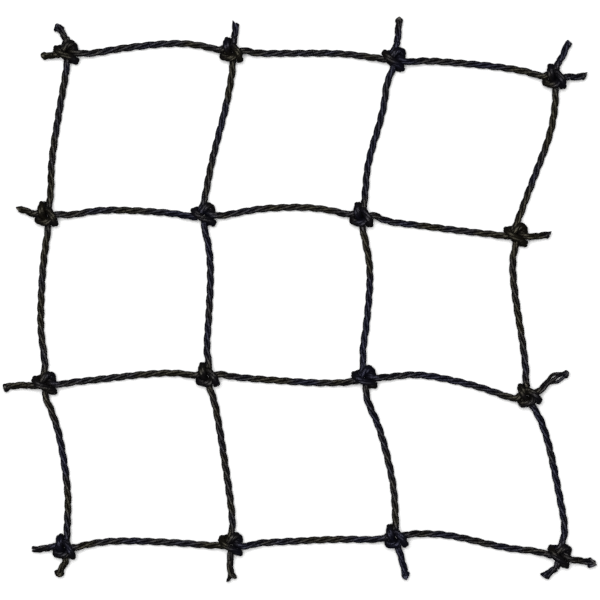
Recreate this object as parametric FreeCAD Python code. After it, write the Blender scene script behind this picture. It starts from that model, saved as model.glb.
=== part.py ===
import FreeCAD, Part
import math
import os
from FreeCAD import Vector, Rotation

# Cargo climbing net: eight lengths of three-strand twine, knotted into four rows of four sheet bends.
# Millimetres. The net lies flat: X to the right, Y up the net, Z away from the ground.
# The origin is the middle of the net, at ground level.

meshSize = 101.6        # from knot to knot, on average
twineWidth = 4.5        # the twine, across its strands
pinchedWidth = 3.4      # the same twine squeezed inside a knot
knotHeight = 7.03       # middle of a knot above the ground
barHeight = 3.6         # middle of a bar above the ground, half way between knots
shoulderHeight = 5.2    # middle of a bar where it nears a knot
nearReach = 16.0        # from a knot's middle to a bar's first bend
farReach = 34.0         # from a knot's middle to a bar's second bend
foldLimit = 90.0        # degrees each fold turns, either way
endLimit = 45.0         # degrees each cut end swings, either way
jointGap = 0.02         # added all round the ball at each joint
endFlare = 3.0          # radius of a fused end where it is widest
endFlareLength = 3.5    # length over which a cut end widens
endCap = 1.2            # thickness of the fused face
endBend = 0.66          # share of the way out from the knot's middle where a cut end bends

# The tables below are laid out for this mesh and this pinched twine, and are scaled from them
tableMesh = 101.6
tablePinch = 3.4

# Height up the net of each fold, top to bottom
foldLines = [100.0, 0.0, -102.0]

# Middle of each knot, row by row from the top, left to right
knotMiddles = [
    [(-145, 155), (-43.5, 155), (59, 151), (157.5, 138.5)],
    [(-158.5, 53), (-59.5, 54), (37.5, 52.5), (135, 41.5)],
    [(-158.5, -51), (-58.5, -47), (40.5, -47.5), (141, -59.5)],
    [(-147.5, -154), (-42.5, -151), (58.5, -147.5), (162, -158)],
]

# How far each knot is turned, in degrees
knotTurns = [
    [0, 0, -10, 0],
    [0, 0, 0, -5],
    [0, 5, 5, 20],
    [0, -5, 10, -15],
]

# How far each bar bows to its left as it runs, at its four bends.
# Bars along a row run left to right, bars between rows run top to bottom.
rowBows = [
    [(-1, 2.5, 6, 3.5), (-0.5, 0.5, 2, 0), (0.5, 2, 3, 2)],
    [(0, 3.5, 2, 0), (0, 4, 5.5, 3), (-1.5, -1.5, -2, -2)],
    [(-0.5, 0.5, 3, 2.5), (-0.5, -2, -4, -4), (2, 6, 3, -1)],
    [(2, 3.5, 1, -1), (-0.5, -0.5, 0, -1), (4, 5, 0, 0.5)],
]
dropBows = [
    [(0.5, -0.5, -1.5, 1), (3, 2.5, -1, -1.5), (-2, 0, -3, -0.5), (5, 6.5, 2, -0.5)],
    [(0, -2.5, -4, -1), (1.5, 3.5, 1.5, 0), (2.5, 5.5, 2, -1.5), (-4, -4, -0.5, 0.5)],
    [(1, 5, 6.5, 4), (2.5, 3, 3, 2.5), (-1.5, 3.5, 5.5, 3.5), (5.5, 7.5, 7, 6.5)],
]

# Tip of each cut end, and how far it bows to its left as it runs out
topEnds = [((-150.8, 173), 0.5), ((-40.2, 175), -0.8), ((61.5, 175.2), -0.3), ((167.5, 163), -0.7)]
bottomEnds = [((-150.8, -173), 0.5), ((-43, -175), -1), ((66, -175), 1), ((151.6, -172.9), -1)]
leftEnds = [((-163, 152.2), 1.3), ((-178, 57.7), 0), ((-186, -54.3), -0.7), ((-168, -155.1), 0.3)]
rightEnds = [((179.5, 139.7), 0), ((157, 40.6), 0), ((167.5, -45.5), 3), ((185.6, -164.8), 0.5)]

# One knot, seen from above and measured from its middle. The bight comes in from the top and leaves
# to the right. The hitch comes in from the bottom, goes round the bight and leaves to the left.
bightRoute = [
    (2.1, 8.2, -1.0), (2.0, 5.0, -0.9), (-0.8, 2.2, -2.1), (-4.6, -0.4, -2.2), (-5.1, -3.6, 0.4),
    (-0.9, -4.7, 2.8), (2.3, -3.8, 2.4), (4.3, 0.2, 0.8), (9.2, 0.6, 1.0),
]
hitchRoute = [
    (1.4, -8.6, -1.1), (0.9, -4.8, -1.4), (-0.2, -1.9, -0.2), (-1.8, -0.1, 3.8), (-2.4, 2.6, 5.7),
    (-2.3, 6.0, 4.3), (-2.0, 7.2, 0.8), (-1.0, 6.5, -3.4), (0.9, 4.6, -5.4), (2.5, 1.6, -4.8),
    (4.2, -2.6, -3.2), (5.5, -5.2, -0.8), (5.9, -4.9, 3.0), (5.1, -1.7, 5.5), (3.3, 1.4, 4.8),
    (1.3, 3.8, 2.9), (-2.7, 2.4, 0.9), (-7.4, 0.5, 1.2),
]

meshScale = meshSize / tableMesh
knotScale = pinchedWidth / tablePinch

os.makedirs("parts", exist_ok=True)


def ballGap(limit):
    # how far a socket must stand off a ball so that the twine can turn this far
    return twineWidth / 2 * (1 / math.cos(math.radians(limit / 2)) - 1) + jointGap


def isTurnedOver(row, column):
    # every other knot shows its back, with its bight to the left and down
    return (row + column) % 2 == 0


def knotMiddle(row, column):
    return Vector(*knotMiddles[row][column], 0) * meshScale


def knotPoint(row, column, point):
    x, y, z = point
    if isTurnedOver(row, column):
        x, y, z = -y, -x, -z
    around = Rotation(Vector(0, 0, 1), knotTurns[row][column])
    middle = knotMiddle(row, column) + Vector(0, 0, knotHeight)
    return around.multVec(Vector(x, y, z) * knotScale) + middle


def sideways(start, end):
    along = end - start
    along.z = 0
    along.normalize()
    return along, Vector(-along.y, along.x, 0)


def barPoints(row, column, side):
    # the two bends of the bar that leaves this knot on this side, nearest first
    rowStep, columnStep = {"up": (-1, 0), "down": (1, 0), "left": (0, -1), "right": (0, 1)}[side]
    here = knotMiddle(row, column)
    there = knotMiddle(row + rowStep, column + columnStep)
    forward = side in ("down", "right")
    if side in ("left", "right"):
        bows = rowBows[row][min(column, column + columnStep)]
    else:
        bows = dropBows[min(row, row + rowStep)][column]
    if forward:
        along, across = sideways(here, there)
        nearBow, farBow = bows[0], bows[1]
    else:
        along, across = sideways(here, there)
        across = across * -1
        nearBow, farBow = bows[3], bows[2]
    near = here + along * nearReach + across * nearBow * meshScale
    far = here + along * farReach + across * farBow * meshScale
    near.z = shoulderHeight
    far.z = barHeight
    return [near, far]


def hasNeighbour(row, column, side):
    last = len(knotMiddles) - 1
    return {"up": row > 0, "down": row < last, "left": column > 0, "right": column < last}[side]


def barCut(row, column, side):
    # where the bar on this side is cut into this knot's half and the next knot's half
    far = barPoints(row, column, side)[1]
    step = {"up": (-1, 0), "down": (1, 0), "left": (0, -1), "right": (0, 1)}[side]
    back = {"up": "down", "down": "up", "left": "right", "right": "left"}[side]
    across = barPoints(row + step[0], column + step[1], back)[1]
    if side in ("left", "right"):
        return (far + across) * 0.5
    line = foldLines[min(row, row + step[0])] * meshScale
    share = (line - far.y) / (across.y - far.y)
    return far + (across - far) * share


def endPoints(row, column, side):
    # the bend and the tip of the cut end on this side
    tip, bow = {
        "up": lambda: topEnds[column],
        "down": lambda: bottomEnds[column],
        "left": lambda: leftEnds[row],
        "right": lambda: rightEnds[row],
    }[side]()
    here = knotMiddle(row, column)
    there = here + Vector(*tip, 0) - Vector(*knotMiddles[row][column], 0)
    along, across = sideways(here, there)
    bend = here + (there - here) * endBend + across * bow
    bend.z = shoulderHeight
    there.z = shoulderHeight - 0.6
    return [bend, there]


def routeCorners(points):
    # a tangent arc at every inner point, as its two ends, its middle and its radius
    corners = []
    for before, here, after in zip(points, points[1:], points[2:]):
        toBefore = before - here
        toAfter = after - here
        reach = 0.45 * min(toBefore.Length, toAfter.Length)
        turn = math.pi - toBefore.getAngle(toAfter)
        toBefore.normalize()
        toAfter.normalize()
        inward = toBefore + toAfter
        inward.normalize()
        radius = reach / math.tan(turn / 2)
        offset = radius / math.cos(turn / 2) - radius
        corners.append((here + toBefore * reach, here + inward * offset, here + toAfter * reach, radius))
    return corners


def routeWire(points, firstRun, lastRun):
    # the route from the middle of one run to the middle of another; None means the very end
    corners = routeCorners(points)
    start = points[0]
    if firstRun is not None:
        start = (points[firstRun] + points[firstRun + 1]) * 0.5
        corners = corners[firstRun:]
    if lastRun is not None:
        finish = (points[lastRun] + points[lastRun + 1]) * 0.5
        corners = corners[:len(corners) - (len(points) - 2 - lastRun)]
    else:
        finish = points[-1]
    edges = []
    here = start
    for arcStart, arcMiddle, arcEnd, radius in corners:
        edges.append(Part.LineSegment(here, arcStart).toShape())
        edges.append(Part.Arc(arcStart, arcMiddle, arcEnd).toShape())
        here = arcEnd
    edges.append(Part.LineSegment(here, finish).toShape())
    return Part.Wire(edges)


def tube(wire, width):
    start = wire.OrderedVertexes[0].Point
    tangent = wire.OrderedEdges[0].tangentAt(wire.OrderedEdges[0].FirstParameter)
    if (wire.OrderedEdges[0].valueAt(wire.OrderedEdges[0].FirstParameter) - start).Length > 0.001:
        tangent = tangent * -1
    ring = Part.Wire(Part.makeCircle(width / 2, start, tangent))
    return wire.makePipeShell([ring], True, False)


def roundEnd(middle, outward):
    # half a ball that closes the end of a tube
    return Part.makeSphere(twineWidth / 2, middle, outward, 0, 90, 360)


def legRoute(row, column, side):
    if hasNeighbour(row, column, side):
        return barPoints(row, column, side) + [barCut(row, column, side)]
    return endPoints(row, column, side)


def knotStrand(row, column, core, firstSide, lastSide):
    # one twine through one knot, out to where its two legs are cut
    points = [knotPoint(row, column, point) for point in core]
    firstLeg = legRoute(row, column, firstSide)
    lastLeg = legRoute(row, column, lastSide)
    route = firstLeg[::-1] + points + lastLeg
    firstExit = len(firstLeg) - 1
    lastExit = len(firstLeg) + len(points) - 1
    pieces = [tube(routeWire(route, firstExit, lastExit), pinchedWidth)]
    wires = []
    for side, exitRun in ((firstSide, firstExit), (lastSide, lastExit)):
        shoulder = (route[exitRun] + route[exitRun + 1]) * 0.5
        if hasNeighbour(row, column, side):
            if side == firstSide:
                wires.append(routeWire(route, None, exitRun))
            else:
                wires.append(routeWire(route, exitRun, None))
            pieces.append(tube(wires[-1], twineWidth))
            inward = route[exitRun] - route[exitRun + 1]
            pieces.append(roundEnd(shoulder, inward * -1 if side == firstSide else inward))
    return route, firstExit, lastExit, pieces


def joinAll(pieces):
    shape = pieces[0]
    for piece in pieces[1:]:
        shape = shape.fuse(piece)
    return shape


def export(shape, name):
    if len(shape.Solids) != 1:
        print("check", name, "has", len(shape.Solids), "solids")
    if not shape.isValid():
        print("check", name, "is not valid")
    shape.Solids[0].exportStep("parts/" + name + ".step")
    return shape.Solids[0]


def cutEnd(bendAndTip, hinge):
    # a short cut end: a ball on its hinge, the twine, and the fused flare at its tip
    bend, tip = bendAndTip
    outward = tip - bend
    outward.normalize()
    flareStart = tip - outward * (endFlareLength + endCap)
    wire = routeWire([hinge, bend, flareStart], None, None)
    flare = Part.makeCone(twineWidth / 2, endFlare, endFlareLength, flareStart, outward)
    cap = Part.makeCylinder(endFlare, endCap, tip - outward * endCap, outward)
    ball = roundEnd(hinge, hinge - bend)
    return joinAll([tube(wire, twineWidth), ball, flare, cap])


box = FreeCAD.BoundBox()
smallest = {}
sides = ("up", "right", "down", "left")
turnedSide = {"up": "left", "right": "down", "down": "right", "left": "up"}
endNames = {"up": "end_top", "down": "end_bottom", "left": "end_left", "right": "end_right"}
for row in range(4):
    for column in range(4):
        for kind, core, legs in (("bight", bightRoute, ("up", "right")), ("hitch", hitchRoute, ("down", "left"))):
            if isTurnedOver(row, column):
                legs = (turnedSide[legs[0]], turnedSide[legs[1]])
            route, firstExit, lastExit, pieces = knotStrand(row, column, core, *legs)
            name = "{}_{}_{}".format(kind, row + 1, column + 1)
            cutters = []
            for side, exitRun in ((legs[0], firstExit), (legs[1], lastExit)):
                shoulder = (route[exitRun] + route[exitRun + 1]) * 0.5
                if hasNeighbour(row, column, side):
                    cut = barCut(row, column, side)
                    if side == "down":
                        pieces.append(roundEnd(cut, cut - barPoints(row, column, side)[1]))
                    if side == "up":
                        cutters.append(Part.makeSphere(twineWidth / 2 + ballGap(foldLimit), cut))
                else:
                    endName = endNames[side] + "_" + str((column if side in ("up", "down") else row) + 1)
                    end = export(cutEnd(endPoints(row, column, side), shoulder), endName)
                    print("hinge", endName, [round(value, 2) for value in shoulder])
                    box.add(end.BoundBox)
                    cutters.append(Part.makeSphere(twineWidth / 2 + ballGap(endLimit), shoulder))
            shape = joinAll(pieces)
            for cutter in cutters:
                shape = shape.cut(cutter)
            solid = export(shape, name)
            box.add(solid.BoundBox)
            radii = [corner[3] for corner in routeCorners(route)]
            smallest[name] = min(radii)
            if row == 1 and column in (1, 2):
                print(name, "bend radii", [round(radius, 1) for radius in radii])
                print(name, "volume", round(solid.Volume), "area", round(solid.Area))
print("smallest bend radius", round(min(smallest.values()), 2))
print("box", box)
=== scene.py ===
import bpy
import math
import numpy as np
from mathutils import Matrix, Vector, noise


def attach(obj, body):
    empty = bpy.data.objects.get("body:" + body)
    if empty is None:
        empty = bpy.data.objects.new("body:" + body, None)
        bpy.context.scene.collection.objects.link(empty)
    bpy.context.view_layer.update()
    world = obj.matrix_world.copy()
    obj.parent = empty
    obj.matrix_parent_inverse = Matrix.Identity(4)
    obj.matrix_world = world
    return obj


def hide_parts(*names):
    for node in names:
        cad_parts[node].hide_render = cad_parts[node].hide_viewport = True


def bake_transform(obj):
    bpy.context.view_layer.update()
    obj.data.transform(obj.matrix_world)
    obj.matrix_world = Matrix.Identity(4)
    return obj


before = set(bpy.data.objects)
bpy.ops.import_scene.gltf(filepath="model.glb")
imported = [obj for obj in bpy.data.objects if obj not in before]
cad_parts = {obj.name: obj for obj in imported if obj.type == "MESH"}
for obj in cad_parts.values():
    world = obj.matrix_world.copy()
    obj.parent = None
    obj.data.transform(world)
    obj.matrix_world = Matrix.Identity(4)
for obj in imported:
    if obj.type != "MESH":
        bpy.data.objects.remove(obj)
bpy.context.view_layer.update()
scene = bpy.context.scene

# camera: straight above the net
cameraSettings = {
    "height": 1.6,
    "width": 0.375,      # how much of the ground it takes in
    "aim": (-0.0003, 0.0003),
    "sensor": 36,        # mm
    "farClip": 20,
}


def makeCamera():
    data = bpy.data.cameras.new("Camera")
    camera = bpy.data.objects.new("Camera", data)
    scene.collection.objects.link(camera)
    camera.location = (*cameraSettings["aim"], cameraSettings["height"])
    camera.rotation_euler = (0, 0, 0)
    data.sensor_width = cameraSettings["sensor"]
    data.lens = cameraSettings["sensor"] * cameraSettings["height"] / cameraSettings["width"]
    data.clip_end = cameraSettings["farClip"]
    scene.camera = camera


makeCamera()
print("camera ready")

# the net, in metres
net = {
    "twineWidth": 0.0045,
    "pinchedWidth": 0.0044,     # the twine inside a knot
    "knotHeight": 0.00703,      # middle of a knot above the ground
    "knotReach": 0.0068,        # a knot squeezes the twine this far from its middle
    "knotEdge": 0.0045,         # and less and less over this length
    "barHeight": 0.0036,        # middle of a bar above the ground, half way between knots
    "shoulderHeight": 0.0052,   # and where it nears a knot
    "nearReach": 0.016,         # from a knot's middle to a bar's first bend
    "farReach": 0.034,          # and to its second bend
    "endBend": 0.66,            # share of the way out where a cut end bends
    "endDrop": 0.0006,
    "endOverlap": 0.0018,       # a cut end begins this far inside its hinge
    "endHinge": 0.003,          # and widens from the pinched width to the full width over this length
    "foldLines": [0.100, 0.0, -0.102],
    "foldAbove": 0.012,         # a length above a fold line
    "foldBelow": 0.034,         # and one below it
}

# middle of each knot, row by row from the top, left to right
knotMiddles = [
    [(-0.145, 0.155), (-0.0435, 0.155), (0.059, 0.151), (0.1575, 0.1385)],
    [(-0.1585, 0.053), (-0.0595, 0.054), (0.0375, 0.0525), (0.135, 0.0415)],
    [(-0.1585, -0.051), (-0.0585, -0.047), (0.0405, -0.0475), (0.141, -0.0595)],
    [(-0.1475, -0.154), (-0.0425, -0.151), (0.0585, -0.1475), (0.162, -0.158)],
]

# how far each knot is turned, in degrees
knotTurns = [
    [0, 0, -10, 0],
    [0, 0, 0, -5],
    [0, 5, 5, 20],
    [0, -5, 10, -15],
]

# how far each bar bows to its left, at its four bends
rowBows = [
    [(-0.001, 0.0025, 0.006, 0.0035), (-0.0005, 0.0005, 0.002, 0.0), (0.0005, 0.002, 0.003, 0.002)],
    [(0.0, 0.0035, 0.002, 0.0), (0.0, 0.004, 0.0055, 0.003), (-0.0015, -0.0015, -0.002, -0.002)],
    [(-0.0005, 0.0005, 0.003, 0.0025), (-0.0005, -0.002, -0.004, -0.004), (0.002, 0.006, 0.003, -0.001)],
    [(0.002, 0.0035, 0.001, -0.001), (-0.0005, -0.0005, 0.0, -0.001), (0.004, 0.005, 0.0, 0.0005)],
]
dropBows = [
    [(0.0005, -0.0005, -0.0015, 0.001), (0.003, 0.0025, -0.001, -0.0015),
     (-0.002, 0.0, -0.003, -0.0005), (0.005, 0.0065, 0.002, -0.0005)],
    [(0.0, -0.0025, -0.004, -0.001), (0.0015, 0.0035, 0.0015, 0.0),
     (0.0025, 0.0055, 0.002, -0.0015), (-0.004, -0.004, -0.0005, 0.0005)],
    [(0.001, 0.005, 0.0065, 0.004), (0.0025, 0.003, 0.003, 0.0025),
     (-0.0015, 0.0035, 0.0055, 0.0035), (0.0055, 0.0075, 0.007, 0.0065)],
]

# one knot from above: the bight comes in from the top and leaves to the right,
# the hitch comes in from the bottom, goes round the bight and leaves to the left
bightRoute = [
    (0.0021, 0.0082, -0.0010), (0.0020, 0.0050, -0.0009), (-0.0008, 0.0022, -0.0021),
    (-0.0046, -0.0004, -0.0022), (-0.0051, -0.0036, 0.0004), (-0.0009, -0.0047, 0.0028),
    (0.0023, -0.0038, 0.0024), (0.0043, 0.0002, 0.0008), (0.0092, 0.0006, 0.0010),
]
hitchRoute = [
    (0.0014, -0.0086, -0.0011), (0.0009, -0.0048, -0.0014), (-0.0002, -0.0019, -0.0002),
    (-0.0018, -0.0001, 0.0038), (-0.0024, 0.0026, 0.0057), (-0.0023, 0.0060, 0.0043),
    (-0.0020, 0.0072, 0.0008), (-0.0010, 0.0065, -0.0034), (0.0009, 0.0046, -0.0054),
    (0.0025, 0.0016, -0.0048), (0.0042, -0.0026, -0.0032), (0.0055, -0.0052, -0.0008),
    (0.0059, -0.0049, 0.0030), (0.0051, -0.0017, 0.0055), (0.0033, 0.0014, 0.0048),
    (0.0013, 0.0038, 0.0029), (-0.0027, 0.0024, 0.0009), (-0.0074, 0.0005, 0.0012),
]

# the cut ends: where each tip lies, how far it bows and how it was cut.
# cut is how far the melted edge stands past the tip, in five places from its left side to its right,
# wide is how far it spreads to its left and right, eye opens the strands half way along
cutEnds = {
    "end_top_1": {"tip": (-0.1508, 0.173), "bow": 0.0005, "wide": (0.0038, 0.0028),
                  "cut": (-0.0036, -0.0008, -0.0005, -0.0016, -0.0032)},
    "end_top_2": {"tip": (-0.0402, 0.175), "bow": -0.0008, "wide": (0.0024, 0.0021),
                  "cut": (-0.0003, -0.0011, -0.0026, -0.0020, -0.0028)},
    "end_top_3": {"tip": (0.0615, 0.1752), "bow": -0.0003, "wide": (0.0023, 0.0023),
                  "cut": (-0.0006, 0.0009, 0.0016, 0.0009, -0.0005)},
    "end_top_4": {"tip": (0.1675, 0.163), "bow": -0.0007, "wide": (0.0019, 0.0028),
                  "cut": (-0.0030, -0.0009, -0.0014, -0.0022, -0.0022)},
    "end_left_1": {"tip": (-0.163, 0.1522), "bow": 0.0013, "wide": (0.0021, 0.0029),
                   "cut": (-0.0030, -0.0020, -0.0014, -0.0014, -0.0027)},
    "end_left_2": {"tip": (-0.178, 0.0577), "bow": 0.0, "wide": (0.0020, 0.0020),
                   "cut": (-0.0036, -0.0020, -0.0009, -0.0009, -0.0034)},
    "end_left_3": {"tip": (-0.186, -0.0543), "bow": -0.0007, "wide": (0.0031, 0.0023),
                   "cut": (-0.0015, -0.0011, -0.0009, -0.0009, -0.0012)},
    "end_left_4": {"tip": (-0.168, -0.1551), "bow": 0.0003, "wide": (0.0019, 0.0020),
                   "cut": (-0.0020, -0.0007, -0.0015, -0.0006, -0.0010)},
    "end_right_1": {"tip": (0.1795, 0.1397), "bow": 0.0, "wide": (0.0028, 0.0020),
                    "cut": (-0.0005, -0.0011, -0.0016, -0.0020, -0.0026)},
    "end_right_2": {"tip": (0.157, 0.0406), "bow": 0.0, "wide": (0.0025, 0.0020),
                    "cut": (-0.0006, -0.0011, -0.0015, -0.0020, -0.0026)},
    "end_right_3": {"tip": (0.1675, -0.0455), "bow": 0.003, "wide": (0.0026, 0.0023),
                    "cut": (-0.0014, -0.0005, -0.0002, -0.0006, -0.0018), "eye": 0.8},
    "end_right_4": {"tip": (0.1856, -0.1648), "bow": 0.0005, "wide": (0.0027, 0.0035),
                    "cut": (-0.0058, -0.0032, -0.0008, -0.0028, -0.0048)},
    "end_bottom_1": {"tip": (-0.1508, -0.173), "bow": 0.0005, "wide": (0.0030, 0.0035),
                     "cut": (-0.0028, -0.0013, -0.0010, -0.0013, -0.0026)},
    "end_bottom_2": {"tip": (-0.043, -0.175), "bow": -0.001, "wide": (0.0038, 0.0028),
                     "cut": (-0.0015, -0.0016, -0.0025, -0.0002, 0.0)},
    "end_bottom_3": {"tip": (0.066, -0.175), "bow": 0.001, "wide": (0.0028, 0.0025),
                     "cut": (-0.0040, -0.0021, -0.0010, -0.0017, -0.0036)},
    "end_bottom_4": {"tip": (0.1516, -0.1729), "bow": 0.0013, "wide": (0.0027, 0.0034),
                     "cut": (-0.0014, -0.0008, -0.0004, 0.0, 0.0001)},
}

steps = {"up": (-1, 0), "down": (1, 0), "left": (0, -1), "right": (0, 1)}
opposite = {"up": "down", "down": "up", "left": "right", "right": "left"}
turnedSide = {"up": "left", "left": "up", "right": "down", "down": "right"}
endNames = {"up": "end_top", "down": "end_bottom", "left": "end_left", "right": "end_right"}


def isTurnedOver(row, column):
    # every other knot shows its back, with its bight to the left and down
    return (row + column) % 2 == 0


def knotMiddle(row, column):
    return Vector((*knotMiddles[row][column], 0))


def knotPoint(row, column, point):
    x, y, z = point
    if isTurnedOver(row, column):
        x, y, z = -y, -x, -z
    around = Matrix.Rotation(math.radians(knotTurns[row][column]), 3, "Z")
    return around @ Vector((x, y, z)) + knotMiddle(row, column) + Vector((0, 0, net["knotHeight"]))


def hasNeighbour(row, column, side):
    return {"up": row > 0, "down": row < 3, "left": column > 0, "right": column < 3}[side]


def sideways(start, end):
    along = (end - start).normalized()
    return along, Vector((-along.y, along.x, 0))


def barPoints(row, column, side):
    # the two bends of the bar that leaves this knot on this side, nearest first
    rowStep, columnStep = steps[side]
    along, across = sideways(knotMiddle(row, column), knotMiddle(row + rowStep, column + columnStep))
    if side in ("left", "right"):
        bows = rowBows[row][min(column, column + columnStep)]
    else:
        bows = dropBows[min(row, row + rowStep)][column]
    if side in ("up", "left"):
        across = -across
        bows = bows[::-1]
    near = knotMiddle(row, column) + along * net["nearReach"] + across * bows[0]
    far = knotMiddle(row, column) + along * net["farReach"] + across * bows[1]
    near.z = net["shoulderHeight"]
    far.z = net["barHeight"]
    return [near, far]


def barMiddle(row, column, side):
    # where the bar on this side changes hands: half way along a row, or at the fold between rows
    rowStep, columnStep = steps[side]
    far = barPoints(row, column, side)[1]
    across = barPoints(row + rowStep, column + columnStep, opposite[side])[1]
    if side in ("left", "right"):
        return (far + across) / 2
    line = net["foldLines"][min(row, row + rowStep)]
    return far.lerp(across, (line - far.y) / (across.y - far.y))


def endName(row, column, side):
    return endNames[side] + "_" + str((column if side in ("up", "down") else row) + 1)


def endPoints(row, column, side):
    end = cutEnds[endName(row, column, side)]
    here = knotMiddle(row, column)
    tip = Vector((*end["tip"], 0))
    along, across = sideways(here, tip)
    bend = here.lerp(tip, net["endBend"]) + across * end["bow"]
    bend.z = net["shoulderHeight"]
    tip.z = net["shoulderHeight"] - net["endDrop"]
    return [bend, tip]


def strandCore(row, column, sides):
    # the twine through one knot, in order from its first side to its last
    names = {"up": "bight", "right": "bight", "down": "hitch", "left": "hitch"}
    turned = isTurnedOver(row, column)
    kind = names[turnedSide[sides[0]] if turned else sides[0]]
    core = bightRoute if kind == "bight" else hitchRoute
    first = {"bight": "up", "hitch": "down"}[kind]
    if turned:
        first = turnedSide[first]
    points = [knotPoint(row, column, point) for point in core]
    if first != sides[0]:
        points = points[::-1]
    return kind, points


curveSteps = 24      # how finely each stretch of a curve is worked out


def smoothLine(points, spacing):
    # a smooth curve with these control points, read back as evenly spaced points
    data = bpy.data.curves.new("route", "CURVE")
    data.dimensions = "3D"
    data.resolution_u = curveSteps
    spline = data.splines.new("NURBS")
    spline.points.add(len(points) - 1)
    for slot, point in zip(spline.points, points):
        slot.co = (*point, 1)
    spline.order_u = 3
    spline.use_endpoint_u = True
    holder = bpy.data.objects.new("route", data)
    scene.collection.objects.link(holder)
    bpy.context.view_layer.update()
    mesh = bpy.data.meshes.new_from_object(holder)
    line = np.array([vertex.co for vertex in mesh.vertices])
    bpy.data.objects.remove(holder)
    bpy.data.meshes.remove(mesh)
    bpy.data.curves.remove(data)
    gaps = np.linalg.norm(np.diff(line, axis=0), axis=1)
    line = line[np.concatenate([[True], gaps > 1e-7])]
    along = np.concatenate([[0], np.cumsum(np.linalg.norm(np.diff(line, axis=0), axis=1))])
    count = max(8, int(along[-1] / spacing)) + 1
    at = np.linspace(0, along[-1], count)
    return np.stack([np.interp(at, along, line[:, axis]) for axis in range(3)], axis=1), at


def unit(vectors):
    return vectors / np.linalg.norm(vectors, axis=-1, keepdims=True)


def carriedFrames(line):
    # two directions across the line at every point, carried along without spinning
    tangents = unit(np.gradient(line, axis=0))
    across = np.cross([0, 0, 1.0], tangents[0])
    across = across / np.linalg.norm(across)
    sides = []
    for tangent in tangents:
        across = across - tangent * np.dot(across, tangent)
        across = across / np.linalg.norm(across)
        sides.append(across)
    sides = np.array(sides)
    return tangents, sides, np.cross(tangents, sides)


def leanFromUpright(tangent, side, lift):
    # the angle from the carried direction to the level one, so that neighbouring pieces can agree
    level = np.cross([0, 0, 1.0], tangent)
    level = level / np.linalg.norm(level)
    return math.atan2(np.dot(level, lift), np.dot(level, side))


def wander(at, size, seed):
    # a slow, steady wobble along the twine
    return np.array([noise.noise(Vector((place / size, seed * 7.13, seed * 3.7))) for place in at])


# how the twine is laid up
twine = {
    "lay": 0.0243,           # length of one full turn of a strand
    "strandOut": 0.56,       # a strand's middle, as a share of the twine's radius
    "strandAcross": 0.45,    # a strand's own radius, the same way, measured outwards
    "strandAlong": 0.50,     # and measured round the twine
    "yarns": 5,              # in each strand
    "yarnDepth": 0.045,
    "yarnTurn": 0.011,       # length of one full turn of a yarn round its strand
    "ringSpacing": 0.0006,   # between the rings of points along a strand
    "endRingSpacing": 0.00045,
    "ringPoints": 20,
    "fewestRings": 6,
    "thickness": 0.035,      # how unevenly it is spun
    "thicknessSize": 0.009,
    "sway": 0.05,            # how far a strand strays outwards
    "swaySize": 0.012,
    "lumps": 0.030,          # small lumps in each strand
    "lumpSize": 0.0022,
    "looseness": 0.5,        # how unevenly it is twisted, in radians
    "looseSize": 0.03,
    "squeeze": 0.24,         # how much the strands flatten into each other inside a knot
    "bendSwell": 0.12,       # how much fuller it is at a sharp bend
    "sharpBend": 140,        # one over the radius where it starts to swell
    "bendLength": 0.002,     # a bend is measured this far each way
    "cutRound": 0.0011,      # a cut strand is rounded off over this length
    "cutBlunt": 2.5,         # and how bluntly
}


def ringFaces(base, rings, points):
    # the skin between rings of points, closed at both ends
    faces = []
    for ring in range(rings - 1):
        for point in range(points):
            after = (point + 1) % points
            low = base + ring * points
            faces.append((low + point, low + after, low + points + after, low + points + point))
    faces.append(tuple(base + (rings - 1) * points + point for point in range(points)))
    faces.append(tuple(base + point for point in reversed(range(points))))
    return faces


def strandShape(name, line, at, radii, phases, squeeze, spreads=0, ends=None):
    # three strands laid round a line: radii and phases are given at every ring
    sides, lifts = carriedFrames(line)[1:]
    points = twine["ringPoints"]
    vertices = []
    faces = []
    fibres = []
    for strand in range(3):
        turn = phases + strand * math.tau / 3
        sway = 1 + twine["sway"] * wander(at, twine["swaySize"], strand + len(name))
        lumps = 1 + twine["lumps"] * wander(at, twine["lumpSize"], strand * 3 + len(name))
        soft = twine["squeeze"] * squeeze
        out = radii * twine["strandOut"] * sway * (1 - soft) + spreads
        flat = radii * twine["strandAcross"] * lumps * (1 + soft)
        wide = radii * twine["strandAlong"] * lumps * (1 + soft)
        size = np.ones(len(at))
        last = len(at) - 1
        if ends is not None:
            last = int(np.searchsorted(at, ends[strand]))
            last = min(max(last, twine["fewestRings"]), len(at) - 1)
            # round the strand off where it was cut
            left = np.clip((at[last] - at) / twine["cutRound"], 0, 1)
            size = np.sqrt(np.clip(1 - (1 - left) ** twine["cutBlunt"], 0.02, 1))
        outward = np.cos(turn)[:, None] * sides + np.sin(turn)[:, None] * lifts
        around = -np.sin(turn)[:, None] * sides + np.cos(turn)[:, None] * lifts
        middles = line + outward * out[:, None]
        faces += ringFaces(len(vertices), last + 1, points)
        for ring in range(last + 1):
            yarnSpin = math.tau * at[ring] / twine["yarnTurn"]
            for point in range(points):
                angle = math.tau * point / points
                ripple = 1 + twine["yarnDepth"] * math.cos(twine["yarns"] * angle + yarnSpin)
                across = flat[ring] * ripple * size[ring] * math.cos(angle)
                along = wide[ring] * ripple * size[ring] * math.sin(angle)
                vertices.append(middles[ring] + outward[ring] * across + around[ring] * along)
                fibres.append((math.cos(angle + yarnSpin / twine["yarns"]) + strand * 5,
                               math.sin(angle + yarnSpin / twine["yarns"]), at[ring] * 1000))
    return vertices, faces, fibres


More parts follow.
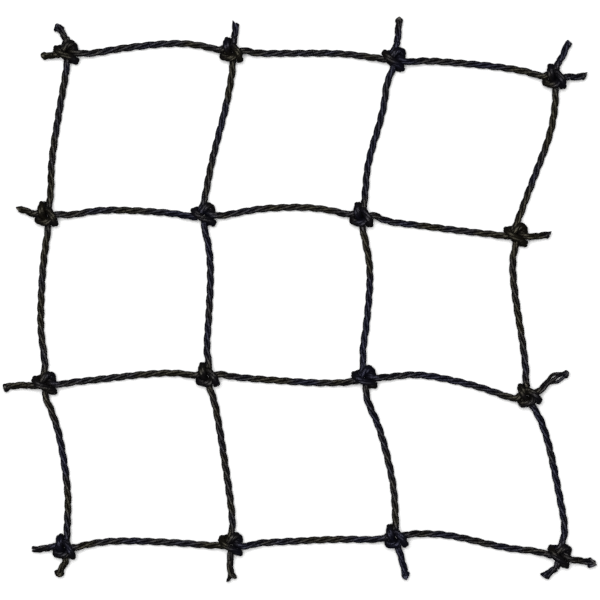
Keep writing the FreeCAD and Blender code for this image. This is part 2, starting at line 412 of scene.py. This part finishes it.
def makeTwine(name, vertices, faces, fibres):
    # fibres: where each point lies round its strand, and how far along it in mm, for the material
    mesh = bpy.data.meshes.new(name)
    mesh.from_pydata([tuple(vertex) for vertex in vertices], [], faces)
    store = mesh.attributes.new("fibre", "FLOAT_VECTOR", "POINT")
    store.data.foreach_set("vector", np.array(fibres, np.float32).ravel())
    mesh.polygons.foreach_set("use_smooth", [True] * len(mesh.polygons))
    mesh.materials.append(blackTwine)
    mesh.update()
    piece = bpy.data.objects.new(name, mesh)
    scene.collection.objects.link(piece)
    return piece


def twistPhases(line, at, seed):
    # the lay along this piece, trimmed so that it starts and ends in step with its neighbours
    tangents, sides, lifts = carriedFrames(line)
    start = leanFromUpright(tangents[0], sides[0], lifts[0])
    finish = leanFromUpright(tangents[-1], sides[-1], lifts[-1])
    turn = math.tau * at[-1] / twine["lay"]
    third = math.tau / 3
    thirds = round((start - turn - finish) / third)
    turn = start - (finish + thirds * third)
    share = at / at[-1]
    loose = twine["looseness"] * wander(at, twine["looseSize"], seed) * np.sin(math.pi * share)
    return start - turn * share + loose


print("routes ready")

# materials
twineFinish = {
    "dark": (0.0004, 0.0004, 0.0006, 1),
    "light": (0.0062, 0.0060, 0.0070, 1),
    "warm": (0.0058, 0.0046, 0.0024, 1),
    "cool": (0.0026, 0.0028, 0.0085, 1),
    "roughness": (0.22, 0.50),
    "shine": 0.27,
    "warmShine": (1.0, 0.93, 0.70, 1),
    "coolShine": (0.67, 0.68, 1.0, 1),
    # how fine each pattern is, and how detailed
    "filaments": (3.2, 5),
    "shade": (190, 3),
    "tint": (34, 2),
    "lumpPattern": (950, 2),
    "filamentStretch": (4.5, 4.5, 0.55),
    "filamentRoughness": 0.62,
    # the part of its pattern over which each colour changes to the next
    "greyEdges": (0.34, 0.70),
    "tintEdges": (0.36, 0.64),
    "shineEdges": (0.40, 0.60),
    "bump": 0.5,
    "bumpDepth": 0.00025,
    "lumps": 0.45,
    "lumpDepth": 0.0006,
}
meltedFinish = {**twineFinish, "roughness": (0.28, 0.5), "bump": 0.2}


def link(tree, source, sourceName, target, targetName):
    tree.links.new(source.outputs[sourceName], target.inputs[targetName])


def addNoise(tree, pattern, source, sourceName):
    node = tree.nodes.new("ShaderNodeTexNoise")
    node.inputs["Scale"].default_value, node.inputs["Detail"].default_value = pattern
    link(tree, source, sourceName, node, "Vector")
    return node


def addRamp(tree, source, edges, low, high):
    # from the low colour at the first edge to the high colour at the second
    node = tree.nodes.new("ShaderNodeValToRGB")
    for element, edge, colour in zip(node.color_ramp.elements, edges, (low, high)):
        element.position = edge
        element.color = colour
    link(tree, source, "Fac", node, "Fac")
    return node


def addBump(tree, source, strength, depth):
    node = tree.nodes.new("ShaderNodeBump")
    node.inputs["Strength"].default_value = strength
    node.inputs["Distance"].default_value = depth
    link(tree, source, "Fac", node, "Height")
    return node


def twistedNylon(name, finish):
    material = bpy.data.materials.new(name)
    material.use_nodes = True
    tree = material.node_tree
    shader = tree.nodes["Principled BSDF"]
    fibre = tree.nodes.new("ShaderNodeAttribute")
    fibre.attribute_name = "fibre"
    place = tree.nodes.new("ShaderNodeTexCoord")

    # fine filaments running along each yarn
    stretch = tree.nodes.new("ShaderNodeMapping")
    stretch.inputs["Scale"].default_value = finish["filamentStretch"]
    link(tree, fibre, "Vector", stretch, "Vector")
    filaments = addNoise(tree, finish["filaments"], stretch, "Vector")
    filaments.inputs["Roughness"].default_value = finish["filamentRoughness"]

    # slow changes of shade along the net, and of tint from place to place
    shade = addNoise(tree, finish["shade"], place, "Object")
    tint = addNoise(tree, finish["tint"], place, "Object")
    grey = addRamp(tree, filaments, finish["greyEdges"], finish["dark"], finish["light"])
    hue = addRamp(tree, tint, finish["tintEdges"], finish["warm"], finish["cool"])
    blend = tree.nodes.new("ShaderNodeMix")
    blend.data_type = "RGBA"
    link(tree, shade, "Fac", blend, "Factor")
    tree.links.new(grey.outputs["Color"], blend.inputs[6])
    tree.links.new(hue.outputs["Color"], blend.inputs[7])
    tree.links.new(blend.outputs[2], shader.inputs["Base Color"])

    rough = tree.nodes.new("ShaderNodeMapRange")
    rough.inputs["To Min"].default_value = finish["roughness"][0]
    rough.inputs["To Max"].default_value = finish["roughness"][1]
    link(tree, filaments, "Fac", rough, "Value")
    link(tree, rough, "Result", shader, "Roughness")
    shader.inputs["Specular IOR Level"].default_value = finish["shine"]
    glint = addRamp(tree, tint, finish["shineEdges"], finish["warmShine"], finish["coolShine"])
    link(tree, glint, "Color", shader, "Specular Tint")

    # the filaments' relief, and small lumps that break up the shine
    bump = addBump(tree, filaments, finish["bump"], finish["bumpDepth"])
    lumps = addNoise(tree, finish["lumpPattern"], place, "Object")
    lumpy = addBump(tree, lumps, finish["lumps"], finish["lumpDepth"])
    link(tree, bump, "Normal", lumpy, "Normal")
    link(tree, lumpy, "Normal", shader, "Normal")
    return material


blackTwine = twistedNylon("black_twine", twineFinish)
meltedTwine = twistedNylon("melted_twine", meltedFinish)
print("materials ready")


def eased(share):
    return share * share * (3 - 2 * share)


def squeezeAlong(line, knots):
    # nothing out on the bars, one inside each knot
    near = np.full(len(line), 1.0)
    for row, column in knots:
        middle = np.array(knotMiddle(row, column))
        reach = np.linalg.norm(line[:, :2] - middle[:2], axis=1)
        near = np.minimum(near, np.clip((reach - net["knotReach"]) / net["knotEdge"], 0, 1))
    return 1 - eased(near)


def fullness(line, at):
    # the strands open where the twine turns sharply
    tangents = unit(np.gradient(line, axis=0))
    bends = np.linalg.norm(np.gradient(tangents, at, axis=0), axis=1)
    size = max(1, round(twine["bendLength"] / (at[1] - at[0])))
    window = np.ones(2 * size + 1) / (2 * size + 1)
    bends = np.convolve(np.pad(bends, size, mode="edge"), window, "valid")
    return 1 + twine["bendSwell"] * np.clip(bends / twine["sharpBend"] - 1, 0, 1)


def bodyOf(row):
    return "row_" + str(row + 1)


made = []       # the length of each piece, in order


def endRoute(row, column, side, exitPoint):
    # a cut end begins on the run that leaves its knot, just inside its hinge
    bend, tip = endPoints(row, column, side)
    hinge = (exitPoint + bend) / 2
    start = hinge - (bend - exitPoint).normalized() * net["endOverlap"]
    return {"name": endName(row, column, side), "row": row,
            "start": start, "hinge": hinge, "bend": bend, "tip": tip}


def makePiece(stops):
    # stops: the knots this length of twine goes through, each with the sides it comes and goes by
    route = []
    nodes = []
    tails = []
    knots = [(row, column) for row, column, sides in stops]
    for index, (row, column, (comes, goes)) in enumerate(stops):
        kind, core = strandCore(row, column, (comes, goes))
        nodes.append("{}_{}_{}".format(kind, row + 1, column + 1))
        if hasNeighbour(row, column, comes):
            near, far = barPoints(row, column, comes)
            if index == 0:
                route.append(barMiddle(row, column, comes))
            route += [far, near]
        else:
            tails.append(endRoute(row, column, comes, core[0]))
            route.append(tails[-1]["start"])
        route += core
        if hasNeighbour(row, column, goes):
            route += barPoints(row, column, goes)
            if index == len(stops) - 1:
                route.append(barMiddle(row, column, goes))
        else:
            tails.append(endRoute(row, column, goes, core[-1]))
            route.append(tails[-1]["start"])
    line, at = smoothLine(route, twine["ringSpacing"])
    made.append(at[-1])
    squeeze = squeezeAlong(line, knots)
    radii = net["twineWidth"] / 2 + (net["pinchedWidth"] - net["twineWidth"]) / 2 * squeeze
    uneven = twine["thickness"] * wander(at, twine["thicknessSize"], len(made))
    radii = radii * (1 + uneven) * fullness(line, at)
    phases = twistPhases(line, at, len(made))
    name = "twine_" + "_".join("{}{}".format(row + 1, column + 1) for row, column in knots)
    piece = makeTwine(name, *strandShape(name, line, at, radii, phases, squeeze))
    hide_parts(*nodes)
    if len(stops) == 1:
        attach(piece, bodyOf(stops[0][0]))
    else:
        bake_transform(piece)
    endPieces = [makeEnd(**tail) for tail in tails]


melt = {
    "neck": 0.0055,          # the twine starts to spread this far back from its tip
    "full": 0.6,             # and is at its widest after this share of it
    "strandShare": 0.92,     # how far the strands spread, of the lump's width
    "strandBack": 0.0008,    # how far inside the lump they end
    "strandPlace": 0.6,      # how far out in it their middles lie
    "thick": 0.0021,         # half its height
    "points": 40,
    "lobes": 0.06,           # how much the strands still show in it
    "rough": 0.14,           # how uneven it is round its middle
    "roughLength": 0.0003,   # and along the twine
    "roughRound": 1.6,       # how fine that is, round it and along it
    "roughAlong": 800,
    "eyeTurn": 0.25,         # where its strands are apart, an end keeps this share of the lay
    "eyeStart": 0.15,        # they part this far along it
    "eyeLength": 0.7,
    # back from the edge, and how wide there
    "profile": [(-0.0030, 0.70), (-0.0022, 0.86), (-0.0014, 0.95), (-0.0008, 1.0),
                (-0.0004, 1.02), (-0.0001, 0.97), (0.0, 0.86), (-0.00005, 0.66),
                (-0.0002, 0.42), (-0.0003, 0.2), (-0.0003, 0.04)],
}


def cutAt(settings, across):
    # how far the cut stands out here, with across running from 1 at its left side to -1 at its right
    return np.interp(-across, [-1, -0.5, 0, 0.5, 1], settings["cut"])


def makeEnd(name, row, start, hinge, bend, tip):
    settings = cutEnds[name]
    line, at = smoothLine([start, bend, tip], twine["endRingSpacing"])
    total = at[-1]
    made.append(total)
    left, right = settings["wide"]
    share = eased(np.clip((at - (total - melt["neck"])) / (melt["neck"] * melt["full"]), 0, 1))
    tangents, sides, lifts = carriedFrames(line)
    line = line + sides * ((left - right) / 2 * share)[:, None]
    grown = eased(np.clip(at / net["endHinge"], 0, 1))
    radii = (net["pinchedWidth"] + (net["twineWidth"] - net["pinchedWidth"]) * grown) / 2
    radii = radii * (1 + ((left + right) / net["twineWidth"] * melt["strandShare"] - 1) * share)
    eye = settings.get("eye", 0) * net["twineWidth"] / 2
    lean = leanFromUpright(tangents[0], sides[0], lifts[0])
    turn = math.tau * total / twine["lay"] * (melt["eyeTurn"] if eye else 1)
    phases = lean - turn * at / total
    opened = np.clip((at / total - melt["eyeStart"]) / melt["eyeLength"], 0, 1)
    spreads = eye * np.sin(math.pi * opened) ** 2
    # each strand ends just inside the lump, where the cut is at its own side
    places = [math.cos(phases[-1] + strand * math.tau / 3) * melt["strandPlace"] for strand in range(3)]
    stops = [total + cutAt(settings, place) - melt["strandBack"] for place in places]
    name = name + "_twine"
    vertices, faces, fibres = strandShape(name, line, at, radii, phases, 1 - grown, spreads, stops)
    meltFrom = len(faces)
    lump, lumpFibres = meltShape(line, phases[-1], settings, len(name) + total * 5000)
    faces += ringFaces(len(vertices), len(melt["profile"]), melt["points"])
    piece = makeTwine(name, vertices + lump, faces, fibres + lumpFibres)
    mesh = piece.data
    mesh.materials.append(meltedTwine)
    melted = [0] * meltFrom + [1] * (len(faces) - meltFrom)
    mesh.polygons.foreach_set("material_index", melted)
    mesh.update()
    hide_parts(name.removesuffix("_twine"))
    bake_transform(piece)
    return piece


def meltShape(line, phase, settings, seed):
    # the fused lump where the hot knife went through
    tangents, sides, lifts = carriedFrames(line)
    tip, tangent, side, lift = line[-1], tangents[-1], sides[-1], lifts[-1]
    half = sum(settings["wide"]) / 2
    vertices = []
    fibres = []
    for back, wide in melt["profile"]:
        for point in range(melt["points"]):
            angle = math.tau * point / melt["points"]
            x, y = math.cos(angle) * melt["roughRound"], math.sin(angle) * melt["roughRound"]
            rough = noise.noise(Vector((x, y + seed, back * melt["roughAlong"])))
            size = 1 + melt["lobes"] * math.cos(3 * (angle - phase)) + melt["rough"] * rough
            across = math.cos(angle) * wide
            height = back + cutAt(settings, across) + melt["roughLength"] * rough
            section = side * half * across + lift * melt["thick"] * math.sin(angle) * wide
            vertices.append(tip + tangent * height + section * size)
            fibres.append((math.cos(angle), math.sin(angle), height * 1000))
    return vertices, fibres


# every twine runs as a staircase: down a bar, through a knot, along a bar, through the next
for column in range(4):
    makePiece([(0, column, ("up", "right"))])
for row in range(3):
    for column in range(4):
        makePiece([(row, column, ("left", "down")), (row + 1, column, ("up", "right"))])
for column in range(4):
    makePiece([(3, column, ("left", "down"))])
print("net ready:", len(made), "pieces,", round(sum(made), 3), "m of twine")

# the ground and the light
room = {
    "ground": (0.9, 0.9, 0.9, 1),
    "groundSize": 3,         # half its width
    "groundDrop": 0.0007,    # it lies under the lowest strands
    "groundRoughness": 0.95,
    "sky": 0.05,
    "panel": 50.0,           # watts
    "panelSize": 0.9,
    "panelPlace": (-0.10, 0.16, 1.9),
}


def makeRoom():
    mesh = bpy.data.meshes.new("ground")
    size = room["groundSize"]
    corners = [(-size, -size, 0), (size, -size, 0), (size, size, 0), (-size, size, 0)]
    mesh.from_pydata(corners, [], [(0, 1, 2, 3)])
    ground = bpy.data.objects.new("ground", mesh)
    ground.location.z = -room["groundDrop"]
    scene.collection.objects.link(ground)
    material = bpy.data.materials.new("pale_ground")
    material.use_nodes = True
    shader = material.node_tree.nodes["Principled BSDF"]
    shader.inputs["Base Color"].default_value = room["ground"]
    shader.inputs["Roughness"].default_value = room["groundRoughness"]
    shader.inputs["Specular IOR Level"].default_value = 0.0
    mesh.materials.append(material)
    # the twine is lit by the panel, not by the ground under it
    ground.visible_diffuse = False
    ground.visible_glossy = False
    world = bpy.data.worlds.new("sky")
    world.use_nodes = True
    background = world.node_tree.nodes["Background"]
    background.inputs["Color"].default_value = (1, 1, 1, 1)
    background.inputs["Strength"].default_value = room["sky"]
    scene.world = world
    data = bpy.data.lights.new("panel", "AREA")
    data.size = room["panelSize"]
    data.energy = room["panel"]
    lamp = bpy.data.objects.new("panel", data)
    lamp.location = room["panelPlace"]
    lamp.rotation_euler = Vector(room["panelPlace"]).to_track_quat("Z", "Y").to_euler()
    scene.collection.objects.link(lamp)


makeRoom()
scene.view_settings.view_transform = "Standard"
print("room ready")
